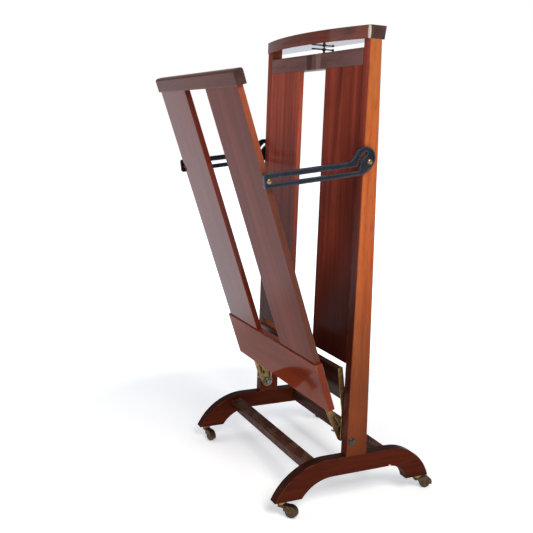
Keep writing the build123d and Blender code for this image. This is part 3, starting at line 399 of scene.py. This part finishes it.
PLASTIC_DUST = {"scale": 160.0, "detail": 5.0, "rough": 0.65}
PLASTIC_GRAIN = {"scale": 700.0, "detail": 2.0, "rough": 0.5}
PLASTIC_BLACK = rgb(0.006, 0.006, 0.007)
PLASTIC_DUSTY = rgb(0.035, 0.03, 0.026)
DUST_STAIN = (0.5, 0.7, 0.0, 0.5)
DUST_BAND = (0.35, 0.7)
DUST_ROUGHER = 0.25
PLASTIC_BUMP = {"strength": 0.15, "distance": 0.0003, "rounding": 0.0006}


def black_plastic(name, rough):
    """Black plastic with brown dust, rougher where the dust lies."""
    g = Graph(name)
    here = g.place()
    dust = g.noise(here, **PLASTIC_DUST)
    g.put(g.shader.inputs["Base Color"], g.mix(g.span(dust, *DUST_STAIN), PLASTIC_BLACK, PLASTIC_DUSTY))
    g.put(g.shader.inputs["Roughness"], g.span(dust, *DUST_BAND, rough, rough + DUST_ROUGHER))
    return g.finish(g.noise(here, **PLASTIC_GRAIN), **PLASTIC_BUMP)


# ---------------------------------------------------------------- colours of the woods
# Each trio is light, mid and dark.
PANEL = (rgb(0.15, 0.030, 0.016), rgb(0.11, 0.020, 0.011), rgb(0.055, 0.010, 0.007))
PANEL_LOW = (rgb(0.20, 0.036, 0.014), rgb(0.15, 0.024, 0.009), rgb(0.08, 0.013, 0.006))
# The right panel board's side edges are painted bright orange as painted light, darker towards the bottom;
# PANEL_SHADE paints the left board's edges in shade.
PANEL_LIT_EDGE = (rgb(0.36, 0.100, 0.038), rgb(0.27, 0.065, 0.028), rgb(0.12, 0.028, 0.014))
PANEL_LIT_EDGE_LOW = rgb(0.09, 0.032, 0.020)
PANEL_SHADE = (rgb(0.16, 0.022, 0.008), rgb(0.10, 0.014, 0.006), rgb(0.05, 0.008, 0.004))
PANEL_TOP = (rgb(0.14, 0.040, 0.024), rgb(0.09, 0.024, 0.015), rgb(0.04, 0.012, 0.008))
BACK = (rgb(0.33, 0.060, 0.030), rgb(0.22, 0.037, 0.021), rgb(0.085, 0.017, 0.013))
# The left fixed board's tones are lighter than the right one's: a painted sheen.
BACK_LEFT = (rgb(0.42, 0.085, 0.045), rgb(0.30, 0.055, 0.032), rgb(0.12, 0.024, 0.017))
BACK_LOW = rgb(0.045, 0.010, 0.007)
# The posts' side faces are painted brighter and more orange than their fronts, as painted light from the
# right; their fades make them lighter near the top and darker towards the bottom.
POST_LIT_SIDES = (rgb(0.42, 0.110, 0.028), rgb(0.36, 0.080, 0.019), rgb(0.22, 0.042, 0.012))
POST_HIGH = rgb(0.42, 0.130, 0.037)
POST_LOW = rgb(0.055, 0.010, 0.004)
FOOT = (rgb(0.12, 0.020, 0.006), rgb(0.065, 0.010, 0.0035), rgb(0.025, 0.005, 0.003))
FOOT_CROWN = (rgb(0.055, 0.014, 0.007), rgb(0.030, 0.008, 0.005), rgb(0.014, 0.005, 0.003))
RAIL = (rgb(0.115, 0.040, 0.024), rgb(0.068, 0.022, 0.014), rgb(0.026, 0.010, 0.007))
# Stretcher edges are worn paler and painted lighter still as highlights along the reeds.
RAIL_WEAR_AND_HIGHLIGHT = {"edge": rgb(0.30, 0.17, 0.11), "edge_amount": 0.75}
CROSS = (rgb(0.22, 0.105, 0.09), rgb(0.17, 0.080, 0.07), rgb(0.10, 0.045, 0.04))
TOP = (rgb(0.19, 0.042, 0.022), rgb(0.13, 0.028, 0.015), rgb(0.05, 0.014, 0.009))
TOP_ENDS = (rgb(0.080, 0.042, 0.036), rgb(0.055, 0.028, 0.024), rgb(0.02, 0.012, 0.010))

# Fades are (height it starts at, height it is full at, colour).
POST_FADES = [(0.70, 0.95, POST_HIGH), (0.55, 0.08, POST_LOW)]
BACK_FADES = [(0.85, 0.35, BACK_LOW)]

# The left board mirrors more of the floor than the right one.
PANEL_GLOSS = {"coat": 0.5, "coat_rough": 0.07, "spread": 0.22}
HIGH_GLOSS = {"coat": 0.85, "coat_rough": 0.07, "spread": 0.22}

# Stains and painted highlights are (where, half sizes, colour).
# A pale streak painted down the top rail's right front corner as a highlight.
CORNER_HIGHLIGHT = (Vector((0.2365, -0.0325, 1.022)), Vector((0.006, 0.006, 0.03)), rgb(0.62, 0.52, 0.44))
FOOT_CHIP = (Vector((0.2385, 0.0900, 0.0755)), Vector((0.006, 0.0035, 0.0035)), rgb(0.75, 0.70, 0.64))
# A dark vertical band on the crossbar's front.
CROSS_DARK_MARK = (Vector((-0.017, -0.028, 0.976)), Vector((0.016, 0.5, 0.5)), rgb(0.05, 0.024, 0.02))
CROSS_RUB = (Vector((0.025, -0.028, 0.976)), Vector((0.014, 0.5, 0.5)), rgb(0.27, 0.14, 0.12))

LOOKS = {
    "panel_board_right": wood("panel_wood_a", PANEL, PANEL_UP, flank=PANEL_LIT_EDGE,
                              flank_fades=[(0.84, 0.56, PANEL_LIT_EDGE_LOW)], **PANEL_GLOSS),
    "panel_board_left": wood("panel_wood_b", PANEL, PANEL_UP, shift=3.1, flank=PANEL_SHADE,
                             **HIGH_GLOSS),
    "panel_bottom_rail": wood("panel_wood_c", PANEL_LOW, ACROSS, shift=1.7, edge_amount=0.7, **PANEL_GLOSS),
    "panel_top_rail": wood("panel_wood_d", PANEL_TOP, ACROSS, shift=5.2, flank=TOP_ENDS, **PANEL_GLOSS),
    "fixed_board_right": wood("back_wood_a", BACK, fades=BACK_FADES, coat=0.15),
    "fixed_board_left": wood("back_wood_b", BACK_LEFT, shift=2.3, fades=BACK_FADES),
    "clamp_rail": wood("clamp_wood", RAIL, ACROSS, shift=4.4, coat=0.7),
    "post_right": wood("post_wood_a", BACK, fades=BACK_FADES, flank=POST_LIT_SIDES, flank_fades=POST_FADES),
    "post_left": wood("post_wood_b", BACK, shift=6.0, fades=BACK_FADES, flank=POST_LIT_SIDES,
                      flank_fades=POST_FADES),
    "foot_right": wood("foot_wood_a", FOOT_CROWN, DEEP, shift=1.0, coat=0.25, flank=FOOT,
                       stains_and_highlights=[FOOT_CHIP], spread=0.24),
    "foot_left": wood("foot_wood_b", FOOT_CROWN, DEEP, shift=7.0, coat=0.25, flank=FOOT, spread=0.24),
    "front_stretcher": wood("rail_wood_a", RAIL, ACROSS, shift=0.7, **RAIL_WEAR_AND_HIGHLIGHT),
    "rear_stretcher": wood("rail_wood_b", RAIL, ACROSS, shift=2.9, **RAIL_WEAR_AND_HIGHLIGHT),
    "crossbar": wood("cross_wood", CROSS, ACROSS, shift=8.3, stains_and_highlights=[CROSS_DARK_MARK, CROSS_RUB]),
    "top_rail": wood("top_wood", TOP, ACROSS, shift=9.6, flank=TOP_ENDS, stains_and_highlights=[CORNER_HIGHLIGHT],
                     coat=0.9, coat_rough=0.08),
}

BRASS = metal("aged_brass", rgb(0.36, 0.235, 0.085), rgb(0.085, 0.052, 0.023))
BRASS_DARK = metal("dark_brass", rgb(0.16, 0.11, 0.05), rgb(0.04, 0.03, 0.018), rough=0.45)
BRASS_BRIGHT = metal("rubbed_brass", rgb(0.27, 0.185, 0.10), rgb(0.075, 0.05, 0.03), rough=0.34, patina=0.75)
BRONZE = metal("brown_bronze", rgb(0.115, 0.072, 0.040), rgb(0.028, 0.018, 0.012), rough=0.45, speck=120.0)
STEEL = metal("aged_steel", rgb(0.34, 0.32, 0.29), rgb(0.09, 0.08, 0.07), rough=0.35, speck=90.0)
BLACKED = metal("blacked_steel", rgb(0.06, 0.058, 0.055), rgb(0.02, 0.02, 0.02), rough=0.4, speck=90.0)
ENAMEL = enamel("arm_enamel")
CAP = black_plastic("cap_black", 0.18)
WHEEL = black_plastic("wheel_black", 0.32)

for node in ("bracket_right", "bracket_left", "clamp_plate_right", "clamp_plate_left", "caster_sockets"):
    LOOKS[node] = BRASS
for node in ("bracket_screws", "clamp_screws", "foot_screws", "arm_washers"):
    LOOKS[node] = BRASS_DARK
for node in ("tie_pin", "tie_bar"):
    LOOKS[node] = BLACKED
for node in ("arm_screws", "arm_pin_right", "arm_pin_left"):
    LOOKS[node] = BRASS_BRIGHT
for node in ("hinge_bolts", "hinge_nuts", "hinge_sleeves", "spring_right", "spring_left"):
    LOOKS[node] = STEEL
for node in ("arm_right", "arm_left"):
    LOOKS[node] = ENAMEL
LOOKS["hinge_caps"] = CAP
for corner in ("front_right", "rear_right", "front_left", "rear_left"):
    LOOKS["caster_hood_" + corner] = BRONZE
    LOOKS["caster_axle_" + corner] = BRONZE
    LOOKS["caster_wheel_" + corner] = WHEEL

for node, look in LOOKS.items():
    for slot in NODES[node].material_slots:
        slot.material = look

# ---------------------------------------------------------------- stage
world = bpy.data.worlds.new("studio")
world.use_nodes = True
sky = world.node_tree.nodes["Background"]
seen = world.node_tree.nodes.new("ShaderNodeLightPath").outputs["Is Camera Ray"]
level = world.node_tree.nodes.new("ShaderNodeMapRange")
level.inputs["To Min"].default_value = SKY_LIGHT
level.inputs["To Max"].default_value = SKY_SEEN
link(world.node_tree, seen, level.inputs["Value"])
link(world.node_tree, level.outputs[0], sky.inputs["Strength"])
tint = world.node_tree.nodes.new("ShaderNodeMix")
tint.data_type = "RGBA"
tint.inputs[MIX_A].default_value = SKY_BLUE
tint.inputs[MIX_B].default_value = SKY_WHITE
link(world.node_tree, seen, tint.inputs[0])
link(world.node_tree, tint.outputs[MIX_RESULT], sky.inputs["Color"])
bpy.context.scene.world = world

bpy.ops.mesh.primitive_plane_add(size=FLOOR_SIZE, location=(0.0, 0.0, 0.0))
floor = bpy.context.object
floor.name = "floor"
paper = Graph("floor_white")
paper.shader.inputs["Base Color"].default_value = FLOOR_WHITE
paper.shader.inputs["Roughness"].default_value = FLOOR_ROUGH
distance = paper.add("ShaderNodeVectorMath", operation="LENGTH")
paper.put(distance.inputs[0], paper.place())
far = paper.span(distance.outputs["Value"], NEAR_ENDS, FAR_STARTS)
paper.put(paper.shader.inputs["Emission Color"], paper.mix(far, FLOOR_WHITE, FLOOR_BLUE))
paper.put(paper.shader.inputs["Emission Strength"], paper.span(far, 0.0, 1.0, NEAR_GLOW, FAR_GLOW))
floor.data.materials.append(paper.material)


def aim(obj, spot, target, roll=0.0):
    """Puts obj at spot, looking at target."""
    look = (target - spot).to_track_quat("-Z", "Y").to_matrix().to_4x4()
    obj.matrix_world = Matrix.Translation(spot) @ look @ Matrix.Rotation(roll, 4, "Z")


def softbox(name, spot, size, power, colour):
    """A square lamp at spot that shines at the middle of the stand."""
    lamp = bpy.data.lights.new(name, "AREA")
    lamp.color = colour
    lamp.shape = "SQUARE"
    lamp.size = size
    lamp.energy = power
    obj = bpy.data.objects.new(name, lamp)
    bpy.context.collection.objects.link(obj)
    aim(obj, Vector(spot), Vector(LIGHT_AIM))


softbox("key_light", KEY_SPOT, KEY_SIZE, KEY_POWER, KEY_WARM)
softbox("fill_light", FILL_SPOT, FILL_SIZE, FILL_POWER, FILL_WHITE)

view = bpy.data.cameras.new("camera")
view.lens = CAMERA_LENS
view.sensor_width = SENSOR
camera = bpy.data.objects.new("camera", view)
bpy.context.collection.objects.link(camera)
aim(camera, CAMERA_SPOT, CAMERA_AIM, CAMERA_ROLL)
bpy.context.scene.camera = camera
bpy.context.scene.view_settings.view_transform = "Standard"
